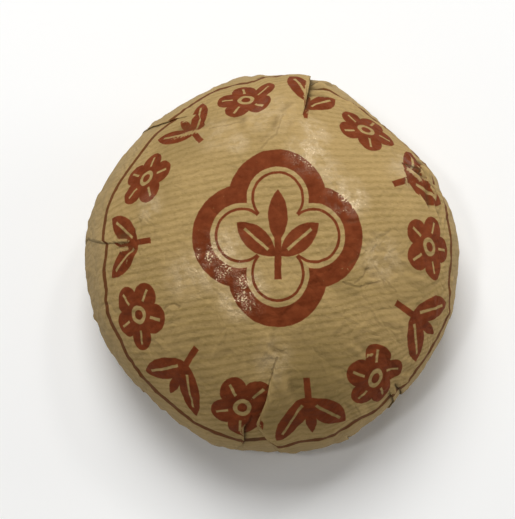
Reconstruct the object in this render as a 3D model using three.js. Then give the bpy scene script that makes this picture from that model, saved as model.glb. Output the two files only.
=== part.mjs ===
// A tuocha: a domed cake of pressed pu-erh tea, shut in one sheet of kraft paper.
// The sheet is smooth over the dome, folded into pleats over the shoulder, gathered under
// the foot, and twisted into a short tail that is tucked up into the hollow of the cake.
// Millimetres, +Z up, dome up. The origin is under the middle of the part, at the table.
import * as THREE from 'three';

// Driving dimensions of the half section, from the top of the dome to the end of the tail.
const cakeHeight = 45;
const girthRadius = 42.2;
const girthHeight = 12.5;
const footOuterRadius = 35;
const footInnerRadius = 28;
const lipRadius = 24;
const lipHeight = 3.5;
const hollowDepth = 19;
const tailRootRadius = 9.5;
const tailNeckRadius = 5.6;
const tailNeckHeight = 16;
const tailEndRadius = 6.8;
const tailEndHeight = 13.4;
const tailTipHeight = 11.8;

// How boxy each rounded stretch of the section is: 2 is an ellipse, more is fuller.
const domeFullness = 2.15;
const flankFullness = 2.2;
const lipFullness = 2;
const hollowFullness = 2.2;

// Spacing of the surface's rows along the section, and its columns round the axis.
const domeRowStep = 2.9;
const flankRowStep = 2.9;
const hollowRowStep = 3.6;
const tailRowStep = 2;
const columns = 100;

// The shoulder is not quite round. Each entry pushes it out (or in) round one bearing.
// Bearings run anticlockwise from +X, seen from above.
const shoulderLobes = [
  { bearing: 5, push: 0.5, spread: 8 },
  { bearing: 45, push: -1.9, spread: 16 },
  { bearing: 81, push: 1.8, spread: 13 },
  { bearing: 101, push: 1.6, spread: 8 },
  { bearing: 123, push: -0.5, spread: 9 },
  { bearing: 170, push: 0.4, spread: 12 },
  { bearing: 222, push: -1.0, spread: 18 },
  { bearing: 256, push: 0.6, spread: 10 },
  { bearing: 285, push: 1.1, spread: 18 },
  { bearing: 330, push: -0.8, spread: 10 },
];

// Pleats that show on the dome. Each starts at an arc distance from the top, runs down to the
// foot while its bearing changes, and its flap stands above the paper on one side of the fold:
// side 1 is the anticlockwise side, -1 the clockwise one. The flap sinks back over its lap.
const domePleats = [
  { bearing: 77, footBearing: 79.5, start: 29, rise: 0.9, lap: 9, side: 1 },
  { bearing: 181, footBearing: 176, start: 26, rise: 0.9, lap: 9, side: -1 },
  { bearing: 267, footBearing: 253, start: 34, rise: 0.8, lap: 7, side: -1 },
  { bearing: 269.5, footBearing: 273, start: 30, rise: 1.0, lap: 8, side: 1 },
  { bearing: 313, footBearing: 312, start: 44, rise: 0.8, lap: 5, side: 1 },
  { bearing: 32, footBearing: 17, start: 36, rise: 0.8, lap: 8, side: -1 },
  { bearing: 124, footBearing: 142, start: 36, rise: 0.8, lap: 8, side: -1 },
];
const pleatSwell = 12;

// Small gathers under the girth, which run over the flank and into the hollow.
const gathers = 25;
const flankGatherDepth = 0.7;
const hollowGatherDepth = 0.9;
const gatherLean = 0.35;

// The tail is a twisted stub that is bent over to one side. Its ribs grow over a short rise.
const tailRibs = 5;
const tailRibDepth = 0.2;
const tailRibRise = 3;
const tailTwistPerMillimetre = 0.12;
const tailBend = 1.2;

// A quarter of a superellipse from one point of the section to the next.
// It leaves its first point level and meets the last one upright, or the other way round.
class SectionArc extends THREE.Curve {
  constructor(from, to, fullness, leavesLevel) {
    super();
    this.from = from;
    this.to = to;
    this.power = 2 / fullness;
    this.leavesLevel = leavesLevel;
  }

  getPoint(t, target = new THREE.Vector2()) {
    const angle = t * Math.PI / 2;
    const going = Math.pow(Math.sin(angle), this.power);
    const coming = 1 - Math.pow(Math.max(Math.cos(angle), 0), this.power);
    const across = this.leavesLevel ? going : coming;
    const up = this.leavesLevel ? coming : going;
    return target.set(
      THREE.MathUtils.lerp(this.from.x, this.to.x, across),
      THREE.MathUtils.lerp(this.from.y, this.to.y, up),
    );
  }
}

// The stretches of the half section in order, each with its name and row spacing.
function sectionStretches() {
  const top = new THREE.Vector2(0, cakeHeight);
  const girth = new THREE.Vector2(girthRadius, girthHeight);
  const footOuter = new THREE.Vector2(footOuterRadius, 0);
  const footInner = new THREE.Vector2(footInnerRadius, 0);
  const lip = new THREE.Vector2(lipRadius, lipHeight);
  const tailRoot = new THREE.Vector2(tailRootRadius, hollowDepth);
  const tailNeck = new THREE.Vector2(tailNeckRadius, tailNeckHeight);
  const tailEnd = new THREE.Vector2(tailEndRadius, tailEndHeight);
  const tailTip = new THREE.Vector2(0, tailTipHeight);
  return [
    { zone: 'dome', curve: new SectionArc(top, girth, domeFullness, true), step: domeRowStep },
    { zone: 'flank', curve: new SectionArc(girth, footOuter, flankFullness, false), step: flankRowStep },
    { zone: 'foot', curve: new THREE.LineCurve(footOuter, footInner), step: hollowRowStep },
    { zone: 'lip', curve: new SectionArc(footInner, lip, lipFullness, true), step: hollowRowStep },
    { zone: 'hollow', curve: new SectionArc(lip, tailRoot, hollowFullness, false), step: hollowRowStep },
    { zone: 'tail', curve: new SectionArc(tailRoot, tailNeck, lipFullness, true), step: tailRowStep },
    { zone: 'tail', curve: new THREE.LineCurve(tailNeck, tailEnd), step: tailRowStep },
    { zone: 'tail', curve: new SectionArc(tailEnd, tailTip, lipFullness, false), step: tailRowStep },
  ];
}

// Evenly spaced rows along the section, from the top of the dome to the tip of the tail.
// Each row keeps its zone, how far along the zone it is, and its arc distance from the top.
function sectionRows() {
  const rows = [{ zone: 'dome', along: 0, arc: 0, radius: 0, height: cakeHeight }];
  let arcBefore = 0;
  for (const { zone, curve, step } of sectionStretches()) {
    const length = curve.getLength();
    const count = Math.max(1, Math.round(length / step));
    for (let index = 1; index <= count; index += 1) {
      const point = curve.getPointAt(index / count);
      rows.push({
        zone,
        along: index / count,
        arc: arcBefore + length * index / count,
        radius: point.x,
        height: point.y,
      });
    }
    arcBefore += length;
  }
  return rows;
}

// Unit normal of the section at each row, pointing out of the cake, as radius and height.
function sectionNormals(rows) {
  return rows.map((row, index) => {
    const before = rows[Math.max(index - 1, 0)];
    const after = rows[Math.min(index + 1, rows.length - 1)];
    const normal = new THREE.Vector2(before.height - after.height, after.radius - before.radius);
    return normal.normalize();
  });
}

// Difference of two bearings in degrees, from -180 to 180.
function bearingGap(bearing, other) {
  return THREE.MathUtils.euclideanModulo(bearing - other + 180, 360) - 180;
}

// How far the shoulder is pushed out at a bearing.
function shoulderPush(bearing) {
  return shoulderLobes.reduce((sum, lobe) => {
    const offset = bearingGap(bearing, lobe.bearing) / lobe.spread;
    return sum + lobe.push * Math.exp(-offset * offset);
  }, 0);
}

// Height of one pleat's flap at a bearing and an arc distance from the top.
function pleatHeight(pleat, bearing, row, footArc) {
  const down = (row.arc - pleat.start) / (footArc - pleat.start);
  const fold = THREE.MathUtils.lerp(pleat.bearing, pleat.footBearing, THREE.MathUtils.clamp(down, 0, 1));
  const gap = THREE.MathUtils.degToRad(bearingGap(bearing, fold)) * row.radius * pleat.side;
  const swell = THREE.MathUtils.smoothstep(row.arc, pleat.start, pleat.start + pleatSwell);
  return gap < 0 ? 0 : pleat.rise * swell * (1 - THREE.MathUtils.smoothstep(gap, 0, pleat.lap));
}

// Relief of the small gathers, a leaning saw tooth that only sinks into the paper.
function gatherDepth(bearing, lean) {
  const tooth = THREE.MathUtils.euclideanModulo(gathers * (bearing / 360) + lean, 1);
  return Math.min(tooth, 3 * (1 - tooth));
}

// How far a row's point at a bearing stands out of the plain section, along its normal.
function relief(bearing, row, footArc) {
  const pleats = domePleats.reduce((sum, pleat) => sum + pleatHeight(pleat, bearing, row, footArc), 0);
  if (row.zone === 'dome') {
    return pleats;
  }
  if (row.zone === 'flank') {
    const fade = 1 - row.along;
    const gathered = Math.sin(Math.PI * row.along) * gatherDepth(bearing, gatherLean * row.along);
    return pleats * fade - flankGatherDepth * gathered;
  }
  if (row.zone === 'hollow') {
    return -hollowGatherDepth * Math.sin(Math.PI * row.along) * gatherDepth(bearing, gatherLean);
  }
  return 0;
}

// The point of the wrapped cake at a row and a bearing.
function surfacePoint(row, normal, bearing, footArc) {
  const angle = THREE.MathUtils.degToRad(bearing);
  const out = relief(bearing, row, footArc);
  const fromGirth = Math.min(row.radius / girthRadius, 1);
  let radius = row.radius + normal.x * out + shoulderPush(bearing) * fromGirth ** 3;
  const height = row.height + normal.y * out;
  let bend = 0;
  if (row.zone === 'tail') {
    const hang = hollowDepth - row.height;
    const ribDepth = tailRibDepth * THREE.MathUtils.smoothstep(hang, 0, tailRibRise);
    radius *= 1 + ribDepth * Math.cos(tailRibs * (angle + tailTwistPerMillimetre * hang));
    bend = tailBend * (hang / (hollowDepth - tailTipHeight)) ** 2;
  }
  return new THREE.Vector3(radius * Math.cos(angle) + bend, radius * Math.sin(angle), height);
}

// One closed skin: a single point at the top, rings of columns, and a single point at the tip.
function wrappedCakeGeometry() {
  const rows = sectionRows();
  const normals = sectionNormals(rows);
  const footArc = Math.max(...rows.filter((row) => row.zone === 'flank').map((row) => row.arc));
  const rings = rows.slice(1, -1);
  const points = [surfacePoint(rows[0], normals[0], 0, footArc)];
  rings.forEach((row, ring) => {
    for (let column = 0; column < columns; column += 1) {
      points.push(surfacePoint(row, normals[ring + 1], 360 * column / columns, footArc));
    }
  });
  const last = rows.length - 1;
  points.push(surfacePoint(rows[last], normals[last], 0, footArc));

  const cornerOf = (ring, column) => 1 + ring * columns + (column % columns);
  const tip = points.length - 1;
  const triangles = [];
  for (let column = 0; column < columns; column += 1) {
    triangles.push(0, cornerOf(0, column), cornerOf(0, column + 1));
    for (let ring = 0; ring < rings.length - 1; ring += 1) {
      const upper = [cornerOf(ring, column), cornerOf(ring, column + 1)];
      const lower = [cornerOf(ring + 1, column), cornerOf(ring + 1, column + 1)];
      triangles.push(upper[0], lower[0], lower[1]);
      triangles.push(upper[0], lower[1], upper[1]);
    }
    triangles.push(tip, cornerOf(rings.length - 1, column + 1), cornerOf(rings.length - 1, column));
  }

  const geometry = new THREE.BufferGeometry().setFromPoints(points);
  geometry.setIndex(triangles);
  return geometry;
}

// Puts the middle of the box that holds the geometry over the origin, and its foot at z = 0.
function standAtOrigin(geometry) {
  geometry.computeBoundingBox();
  const centre = geometry.boundingBox.getCenter(new THREE.Vector3());
  geometry.translate(-centre.x, -centre.y, -geometry.boundingBox.min.z);
  geometry.computeVertexNormals();
  return geometry;
}

const kraftPaper = new THREE.MeshStandardMaterial({ color: 0xa88b5a, roughness: 0.55, metalness: 0 });

const wrappedTuocha = new THREE.Mesh(standAtOrigin(wrappedCakeGeometry()), kraftPaper);
wrappedTuocha.name = 'wrapped_tuocha';

const tuocha = new THREE.Group();
tuocha.add(wrappedTuocha);

export default tuocha;
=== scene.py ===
"""Looks of a tuocha, a domed cake of pressed tea shut in printed kraft paper.

The sheet is one folded surface: it lies over the dome, laps over itself at the pleats of the
shoulder, gathers over the flank and under the foot, and ends in a twisted tail in the hollow.
Lengths are in millimetres in the shape functions and in metres in Blender.
Bearings are in degrees, anticlockwise from +X, seen from above.
"""

import math

import bpy
import numpy as np
from bpy.props import (
    FloatProperty,
    FloatVectorProperty,
    IntProperty,
    PointerProperty,
)
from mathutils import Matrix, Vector, noise


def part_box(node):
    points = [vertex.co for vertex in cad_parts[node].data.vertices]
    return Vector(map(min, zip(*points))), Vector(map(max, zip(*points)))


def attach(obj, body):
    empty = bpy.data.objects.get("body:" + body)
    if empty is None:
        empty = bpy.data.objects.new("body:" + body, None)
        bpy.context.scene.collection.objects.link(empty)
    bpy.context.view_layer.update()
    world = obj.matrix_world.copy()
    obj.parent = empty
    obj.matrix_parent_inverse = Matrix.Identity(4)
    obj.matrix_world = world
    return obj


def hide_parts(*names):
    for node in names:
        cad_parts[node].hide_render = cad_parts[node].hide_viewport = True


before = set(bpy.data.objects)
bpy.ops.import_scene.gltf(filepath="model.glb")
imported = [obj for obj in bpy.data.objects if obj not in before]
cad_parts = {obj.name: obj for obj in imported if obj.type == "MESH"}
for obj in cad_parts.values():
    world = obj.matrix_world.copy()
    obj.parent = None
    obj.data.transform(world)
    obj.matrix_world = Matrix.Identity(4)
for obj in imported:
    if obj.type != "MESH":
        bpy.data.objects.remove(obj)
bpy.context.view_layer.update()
CAD_NODE = "wrapped_tuocha"
MM = 0.001
CAKE_HEIGHT = (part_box(CAD_NODE)[1].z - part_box(CAD_NODE)[0].z) / MM

bl_info = {
    "name": "Wrapped tuocha",
    "version": (1, 0, 0),
    "blender": (4, 5, 0),
    "location": "View3D > Sidebar > Tuocha",
    "description": "Builds a paper-wrapped tuocha and the studio that it stands in",
    "category": "Add Mesh",
}

# The half section of the cake, the same as in the CAD source.
GIRTH_HEIGHT = 12.5
FOOT_OUTER = (35.0, 0.0)
FOOT_INNER = (28.0, 0.0)
LIP = (24.0, 3.5)
TAIL_ROOT = (9.5, 19.0)
TAIL_NECK = (5.6, 16.0)
TAIL_END = (6.8, 13.4)
TAIL_TIP = (0.0, 11.8)
DOME_FULLNESS = 2.15
FLANK_FULLNESS = 2.2

# Mesh spacing: rows along the half section, and columns round the axis.
OUTER_STEP = 0.55
UNDER_STEP = 0.8
TAIL_STEP = 0.55
COLUMNS = 425

# The shoulder is not quite round: bearing, push outwards, spread in degrees.
SHOULDER_LOBES = (
    (5, 0.4, 8), (20, -0.5, 4), (29, 0.4, 7), (45, -1.9, 16), (55, -0.3, 5), (70, 0.7, 5),
    (81, 1.3, 13), (101, 1.4, 8), (106, -0.3, 6), (123, -0.6, 9), (138, -0.7, 10),
    (152, -0.35, 9), (168, 0.1, 12), (198, -0.3, 10), (226, -1.4, 18), (256, 0.7, 10),
    (285, 0.8, 14), (308, -0.6, 10), (315, -0.5, 5), (330, -0.5, 10), (354, -0.3, 6),
)

# Folds of the sheet in order of bearing. The path is a list of (arc distance, bearing). The flap
# lies on the anticlockwise side of the fold where side is 1, and on the clockwise side where it
# is -1. It opens at an arc distance, gains its rise over the swell, sinks back over its lap, and
# hides some paper beneath it. The rim is the share of its rise that is left at the shoulder, the
# sink is the share of it by which the lower paper dips beside it, and dark is how deep the shade
# is there.
FOLDS = (
    dict(path=((36, 33.8), (37.2, 32.5), (38.4, 28.5), (40, 25), (43.5, 22.5), (47, 20.5),
               (56, 17), (75, 15)),
         side=-1, opens=36.2, swell=5, rise=0.8, lap=7, hides=3, sink=0.4),
    dict(path=((52, 50), (75, 47)), side=1, opens=52, swell=8, rise=0.4, rim=1, lap=7, hides=3),
    dict(path=((27.6, 76), (34.2, 77), (45, 78), (75, 79.5)),
         side=1, opens=27.5, swell=12, rise=1.1, rim=0.36, lap=9, hides=4, sink=0.6),
    dict(path=((53, 105), (75, 108)),
         side=-1, opens=53, swell=8, rise=0.4, rim=1, lap=6, hides=3),
    dict(path=((36, 119.5), (37.2, 122.5), (39.6, 126), (40.4, 128.5), (42.8, 131.5),
               (46, 133.5), (59, 138), (75, 141)),
         side=-1, opens=36.4, swell=5, rise=0.34, lap=8, hides=4, dark=0.6),
    dict(path=((54, 158), (75, 156)), side=1, opens=54, swell=8, rise=0.35, rim=1, lap=6, hides=3),
    dict(path=((28.2, 181), (33.8, 180), (40.6, 178.5), (49.4, 175), (75, 174)),
         side=-1, opens=27.5, swell=11, rise=0.17, lap=8, hides=4, dark=0.15),
    dict(path=((51, 203), (75, 199)), side=1, opens=54, swell=9, rise=0.35, rim=1, lap=6, hides=3),
    dict(path=((50, 226), (75, 224)),
         side=-1, opens=53, swell=9, rise=0.3, rim=1, lap=6, hides=3),
    dict(path=((38, 264.5), (42, 262.5), (43.6, 261), (49.8, 261.5), (56, 259), (75, 251)),
         side=-1, opens=39.5, swell=6, rise=0.8, lap=7, hides=4),
    dict(path=((25.6, 272.8), (28.8, 271), (32, 269.5), (35.6, 268.4), (42, 265.4), (51.4, 271),
               (60, 273), (75, 275)),
         side=1, opens=25.6, swell=13, rise=0.85, lap=8, hides=4, sink=0.1, dark=0.5),
    dict(path=((52, 292), (75, 295)),
         side=-1, opens=54, swell=8, rise=0.35, rim=1, lap=6, hides=3),
    dict(path=((46, 309.6), (50, 310.2), (55, 310.6), (75, 307)),
         side=1, opens=47.6, swell=3, rise=0.7, lap=4, hides=2),
    dict(path=((46, 312.6), (48.4, 313), (52, 313.8), (75, 316)),
         side=1, opens=46.6, swell=3, rise=0.8, lap=5, hides=2),
    dict(path=((53, 342), (75, 345)), side=1, opens=55, swell=8, rise=0.4, rim=1, lap=6, hides=3),
)
# Rim and sink of the folds that give none.
RIM_SHARE = 0.45
SINK_SHARE = 0.16
# Reach of an open flap over the lower paper and of the lower paper under the flap, thickness of
# the flap's edge, the rise below which a fold is closed, and the rise at which it is quite open.
FLAP_OVERHANG = 0.22
FLAP_UNDERLAP = 0.5
FLAP_THICKNESS = 0.16
CLOSED_RISE = 0.05
OPEN_RISE = 0.35
# Arc distances between which the flaps are pressed down to their rim.
RIM_ARCS = (43, 53)
# Width of the crest along a flap's edge, worn and painted paler as a highlight, and of the dip in
# the lower paper beside it.
CREST_WIDTH = 0.7
DIP_WIDTH = 1.6
# Width of the shade beside a flap, which gains the sink, and the rise at which the shade is full.
SHADE_WIDTH = 0.6
SHADED_RISE = 0.3
# Arc distance over which a fold comes to hide all of its paper.
HIDING_LENGTH = 18

# Creases that stand out: bearing and arc distance of both ends, height, width.
CREASES = (
    # beside the top right pleat
    (77, 37.2, 68.5, 38.9, -0.35, 0.55), (77.5, 41.2, 71, 42.4, -0.6, 0.8),
    (76.5, 43.4, 72, 44.6, 0.45, 0.7), (77, 46, 70, 47.2, -0.6, 0.9),
    (68, 40.5, 55, 45.5, 0.25, 0.8), (74, 33, 66, 35.5, 0.12, 0.9),
    # over the upper right corner
    (31, 36.2, 22.6, 39.2, 0.6, 0.65), (31, 41.6, 23.4, 42, 0.5, 0.7),
    (30, 39.2, 24, 41.4, -0.5, 0.6), (22, 41.2, 17.6, 43.2, 0.55, 0.7),
    (20, 36.4, 12, 37.6, 0.4, 0.6), (21.4, 40.4, 14, 38.8, -0.45, 0.6),
    (30, 43, 27, 48, 0.6, 1.2), (27, 34.4, 22.6, 33.2, 0.35, 0.55),
    (16, 40.4, 8.6, 40.8, 0.3, 0.6),
    # upper left: soft folds across the dome
    (135, 34, 119, 28.4, 0.3, 1.0), (119, 28.4, 100.5, 26, 0.28, 1.0),
    (103, 24, 99.6, 28, 0.25, 0.7), (122, 34.5, 127.5, 36.8, 0.25, 0.7),
    (116, 36.5, 108, 38.4, 0.2, 0.8),
    # from the emblem to the top right pleat
    (96.5, 18.8, 87.5, 22.8, 0.28, 0.6), (87.5, 22.8, 84, 28.2, 0.34, 0.65),
    (84, 28.2, 79.5, 31.8, 0.34, 0.7), (81, 23.5, 76.8, 27, 0.2, 0.6),
    (76, 31.4, 72.6, 28.2, 0.2, 0.7),
    # at the left pleat
    (178.8, 36.6, 180.4, 31.4, 0.5, 0.65), (184.5, 29.4, 183.5, 33, -0.3, 0.6),
    (182.6, 35.4, 183.2, 31.6, 0.35, 0.6), (186, 31, 190, 34.5, 0.18, 0.7),
    (178, 33, 172, 31, 0.15, 0.7), (173.5, 28.6, 170.6, 28.3, 0.3, 0.5),
    (177.2, 30, 175, 29.2, 0.25, 0.5),
    # left and lower left of the dome
    (212, 27.4, 220, 26, 0.22, 0.7), (208, 25.4, 206, 22.4, -0.14, 0.6),
    (236, 30, 229, 33, 0.15, 0.8), (198, 22, 193, 25, 0.15, 0.6), (246, 27, 240, 30.5, 0.12, 0.7),
    # over the emblem
    (196, 13.4, 195, 17.4, -0.2, 0.5), (9, 15.6, 9.5, 19.6, -0.2, 0.5),
    (188, 17, 181, 19.8, 0.14, 0.5), (214, 15.5, 222, 18.2, 0.18, 0.6),
    (248, 16.5, 259, 19, 0.16, 0.6), (332, 15.5, 337, 19.2, 0.16, 0.6),
    # right of the dome
    (345, 30.4, 346.6, 38.4, 0.3, 0.7), (0.5, 19.6, 355, 23.4, 0.26, 0.5),
    (335, 22, 337.2, 25.8, 0.26, 0.5), (349, 25.4, 344, 27.8, -0.24, 0.5),
    (340, 24.5, 333, 27, 0.24, 0.5), (352, 27.5, 350, 31.5, 0.22, 0.5),
    (339, 20.6, 343, 23.4, -0.2, 0.45), (356, 33, 351, 36.5, 0.14, 0.7),
    (348, 20.6, 352, 25.4, 0.24, 0.45), (337, 26.4, 345, 29.2, 0.22, 0.45),
    (3, 23.4, 357, 27.6, 0.18, 0.5), (343, 21.4, 336, 21.6, -0.2, 0.45),
    # lower right
    (306, 33.2, 313.5, 34.9, 0.25, 0.7), (315.5, 46, 318.5, 50, 0.22, 0.6),
    (305.5, 28.6, 308.4, 33.2, 0.24, 0.6), (311.8, 46.4, 311.4, 51, 0.35, 0.6),
    (305, 44, 308.6, 48, -0.1, 0.7),
    # above and beside the front pleats
    (267.6, 20.8, 268.6, 24.2, 0.22, 0.55), (266, 24.2, 273, 26.2, 0.3, 0.6),
    (270.5, 24.5, 279, 25.6, -0.08, 0.6), (266, 25.4, 262, 29.6, 0.14, 0.7),
    (275.5, 29, 274.5, 35, 0.2, 0.7), (274.5, 31, 277, 38, 0.14, 0.8),
    (259, 41, 256, 47, 0.16, 0.8), (265.5, 33, 262.5, 39, -0.14, 0.8),
    # down to the small folds of the rim
    (51, 46, 50, 53, -0.2, 0.9), (103.5, 46, 105, 54, -0.2, 0.9), (158.5, 47, 158, 55, -0.2, 0.9),
    (204.5, 47, 203, 55, -0.2, 0.9), (227, 47, 226, 54, -0.2, 0.9), (290.5, 51, 292, 56, -0.2, 0.9),
    (340.5, 50, 342, 57, -0.2, 0.9),
)
# Section across a crease: how far off its hollow lies and how wide it is, in widths of the crease,
# and how deep, as a share of the height. Then the gain in height, the wear of a ridge with its
# painted highlight and the painted shade beside it, for each millimetre of its height, and the
# painted shade along a dent for each millimetre of depth.
HOLLOW_OFFSET = 1.7
HOLLOW_WIDTH = 1.3
HOLLOW_DEPTH = 0.45
CREASE_GAIN = 1.25
RIDGE_WEAR_AND_HIGHLIGHT = 2.6
RIDGE_SHADE = 2.0
DENT_SHADE = 2.4

# The fine creases at random: those that run down the shoulder, those that lie anywhere on the
# dome, and the shares of their height, their wear with its painted highlight, and their painted
# shade that are kept.
SHOULDER_CREASES = dict(
    count=210, arcs=(27, 66), lengths=(2, 7), lean=2.4, heights=(0.05, 0.2), widths=(0.45, 0.9))
STRAY_CREASES = dict(count=70, reach=28, lengths=(1.5, 4.5), heights=(0.04, 0.13), width=0.55)
FINE_CREASE_SHARES = (1, 0.8, 0.2)

# Dents and swellings of the cake under the paper: waves per millimetre and height in millimetres.
# The crumpling gains its last height towards the rim.
BROAD_DENTS = (0.055, 0.34)
FINE_DENTS = (0.21, 0.1)
CRUMPLING = (0.55, 0.03, 0.17)

# Sharp crease lines: depth of the shade, half width, and the bearing and arc distance of each
# corner. The blur is the width of their soft edge.
CREASE_BLUR = 0.26
CREASE_LINES = (
    (1.0, 0.1, ((32.5, 37.2), (28.5, 38.4), (25, 40))),
    (0.7, 0.1, ((30.5, 40.8), (26, 39.8), (23, 40.6))),
    (0.4, 0.1, ((22, 40.6), (18.5, 40.2), (15, 39.2))),
    (0.4, 0.1, ((26.4, 33.9), (23.6, 33.2))),
    (0.5, 0.1, ((326, 18.2), (329, 21.8), (333, 23), (337, 25))),
    (0.4, 0.1, ((330, 20.2), (336, 21.4), (341, 22))),
    (0.35, 0.1, ((338, 17.6), (344, 18.6), (350, 20.4))),
    (0.3, 0.1, ((339.5, 26.4), (336.5, 29.6))),
    (0.5, 0.1, ((272.6, 26.2), (271, 28.8), (269.5, 32), (268.4, 35.6))),
    (0.25, 0.1, ((270.5, 24.3), (278, 25.5))),
    (0.95, 0.9, ((76.9, 43.3), (75.2, 44.4))),
    (0.45, 0.7, ((75.4, 44.7), (71.6, 47.4))),
    (0.75, 0.2, ((76.9, 40.7), (75, 41.4), (73, 42))),
    (0.5, 0.05, ((76.8, 37.4), (73, 38), (69.5, 39))),
    (0.6, 0.5, ((262.3, 50.1), (264.8, 49.3))),
    (0.45, 0.5, ((94.3, 44.9), (91, 48))),
    (0.45, 0.3, ((101, 41.9), (103, 42))),
    (0.5, 0.1, ((182, 35.6), (182.6, 31.4), (185, 30.6))),
    (0.4, 0.1, ((118.5, 29), (112, 27.2), (104, 26.8))),
    (0.35, 0.1, ((96, 19), (92, 20.8), (87.5, 22.4), (85.5, 25.8), (84.5, 28))),
    (0.45, 0.12, ((214, 28.4), (213.4, 27), (214.5, 26), (217.5, 25.4))),
)

# Where the printed ring line lies on the dome, between the folds: (bearing, arc distance).
RING_LINE = (
    ((22, 46.4), (29, 49.8), (36, 50.2), (40.5, 48.6), (48.5, 47.2), (55.5, 44.8), (62.5, 43.2),
     (66.5, 42.1), (72, 42.2), (75, 41.4), (77.5, 40.7)),
    ((78, 46.4), (84, 47.5), (91, 47), (93.5, 44.6), (95.8, 42), (98.5, 41.3), (102, 41.8),
     (107.5, 43.4), (111, 43.2), (116.5, 42.4), (122, 41.2), (127.5, 40.2), (132, 40.6)),
    ((130.5, 39.7), (135.5, 40.4), (141.5, 39.8), (144.5, 39.5), (151, 39.5), (159, 40.4),
     (167.5, 41), (178.5, 40.6)),
    ((179.5, 39.2), (183, 39.7), (188, 41.2), (194.5, 41.9), (197.5, 43.6), (200, 43.8),
     (202.5, 44.6), (211, 44.5), (216.5, 46.4), (226, 48.8), (232.5, 48.7), (240, 49.4),
     (245.5, 50.2), (251, 49.9), (259, 49)),
    ((261.5, 50), (265.5, 49), (271, 48.4)),
    ((270.5, 52), (274, 51.6), (278.5, 49.9), (285.5, 51.4), (291, 50.8), (295.5, 50),
     (298.5, 50.2), (302, 51.5), (305, 51.8), (311, 50.6)),
    ((313, 50.6), (316.5, 51.9), (321, 50.6), (325, 50.8), (330, 51.2), (342, 51.2), (346, 49),
     (350, 47), (357, 46.8), (361.5, 45.8), (367, 45.8), (372, 46.2), (378, 48.4), (382, 49.4)),
)
# The folds between which its stretches lie, by their place in FOLDS.
RING_FOLDS = (0, 2, 4, 6, 9, 10, 13)
# Radius of the ring line on the flat sheet, and what its half width gains towards the front.
RING_RADIUS = 45.9
RING_SWELL = 0.13
# Arc distances between which the print begins to stretch so that the line meets its places.
STRETCH_ARCS = (22, 40)

# Side of the flat sheet, how much its print is squeezed and where the dome's top lies on it.
SHEET_SIZE = 240.0
SHEET_SQUEEZE = -0.032
SHEET_SHIFT = (-1.31, 0.55)

# Reach of the emblem and width of the wreath's band as they are drawn, and number of motifs.
EMBLEM_DRAWN = 18.5
WREATH_DRAWN = 11.8
WREATH_COUNT = 14

# Rise of the ribs of the paper to the right, in degrees.
RIB_TILT = 6.5

# Where the glaze is crushed and glossy, and where its sheen and glints are painted on in a pale
# colour: place on the flat sheet, inner and outer radius, strength.
CRUSHED_AND_GLINT_SPOTS = (
    (-13.5, -5.5, 2, 8, 1.0), (-8.0, -11.5, 2, 7.5, 1.0), (-11.5, -2.5, 1, 6, 0.7),
    (6.8, 17.8, 1, 7, 1.0), (15.4, 8.4, 1.5, 6.5, 1.0), (11.5, 14.0, 1, 5, 0.6),
    (-9.0, 20.5, 0.5, 4, 0.6), (23.0, -4.0, 1, 7, 0.5), (-1.0, -25.0, 1, 6, 0.5),
    (-29.5, 8.0, 1, 5, 0.6), (-20.0, -8.0, 1, 7, 0.55), (29.0, 17.0, 1, 6, 0.5),
    (8.5, 24.0, 1, 6, 0.7), (-2.0, 28.0, 2, 9, 0.35), (-14.0, 24.0, 2, 7, 0.35),
)

# Where the paper is a deeper brown, partly its own tone and partly painted shade where less light
# and sheen fall: place on the flat sheet, inner and outer radius, strength.
DEEP_TONE_AND_SHADE_SPOTS = (
    (9.0, -28.0, 3, 16, 0.5), (1.0, -35.0, 2, 9, 0.35), (-24.0, 25.0, 3, 14, 0.3),
    (-30.0, 11.0, 2, 11, 0.26), (15.0, -9.5, 1, 6, 0.3), (29.0, -7.0, 3, 15, 0.24),
    (-15.0, -23.0, 3, 15, 0.24),
)

# Depth of the gathers against the arc distance from the top of the dome.
GATHER_DEPTH = (
    (53, 0), (58, 0.2), (64, 0.6), (69, 0.8), (73.5, 0.5), (76, 0.28), (81, 0.34), (87, 0.75),
    (96, 1.0), (104, 0.9), (111, 0.5), (116, 0),
)
# How far the gathers lean round towards the tail, in gathers, and where in each its crest lies.
GATHER_LEAN = 0.9
GATHER_CREST = 0.8

# Waves round the twisted tail: number in a turn, size and start. The ribs along it and the ruffle
# of its end are shares of the radius, and the rosette is a lift in millimetres.
TAIL_RIBS = ((6, 0.06, 0), (11, 0.045, 1.3))
TAIL_RUFFLE = ((7, 0.1, 0.6), (4, 0.06, 2))
TAIL_ROSETTE = ((5, 0.55, 0.4), (9, 0.35, 0))
# Twist of the tail, in radians per millimetre, the lift of its tip and the bend of its end.
TAIL_TWIST = 0.16
TAIL_LIFT = 1.6
TAIL_BEND = 1.2

# The camera: its elevation in degrees, its distance and the height that it faces, in metres, and
# its lens, with the focal length and the width of the picture in pixels.
CAMERA_ELEVATION = 78
CAMERA_DISTANCE = 0.33
CAMERA_AIM = 0.02
FOCAL_PIXELS = 1471
PICTURE_PIXELS = 515
SENSOR_WIDTH = 36
LENS_SHIFT = (-0.0274, -0.0045)

# The lamps: name, direction, side in metres, share of the lamp power. All face the same point
# over the floor, from the same distance, in metres.
LAMPS = (
    ("lamp_key", (-0.1, 0.54, 0.836), 0.6, 1),
    ("lamp_over", (-0.33, -0.08, 0.94), 0.1, 0.14),
    ("lamp_side", (0.375, 0.535, 0.756), 0.12, 0.1),
    ("lamp_right", (0.95, 0.22, 0.08), 0.5, 0.44),
    ("lamp_left", (-0.8, -0.55, 0.08), 0.5, 0.04),
)
LAMP_DISTANCE = 1.1
LAMP_AIM = 0.03


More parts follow.
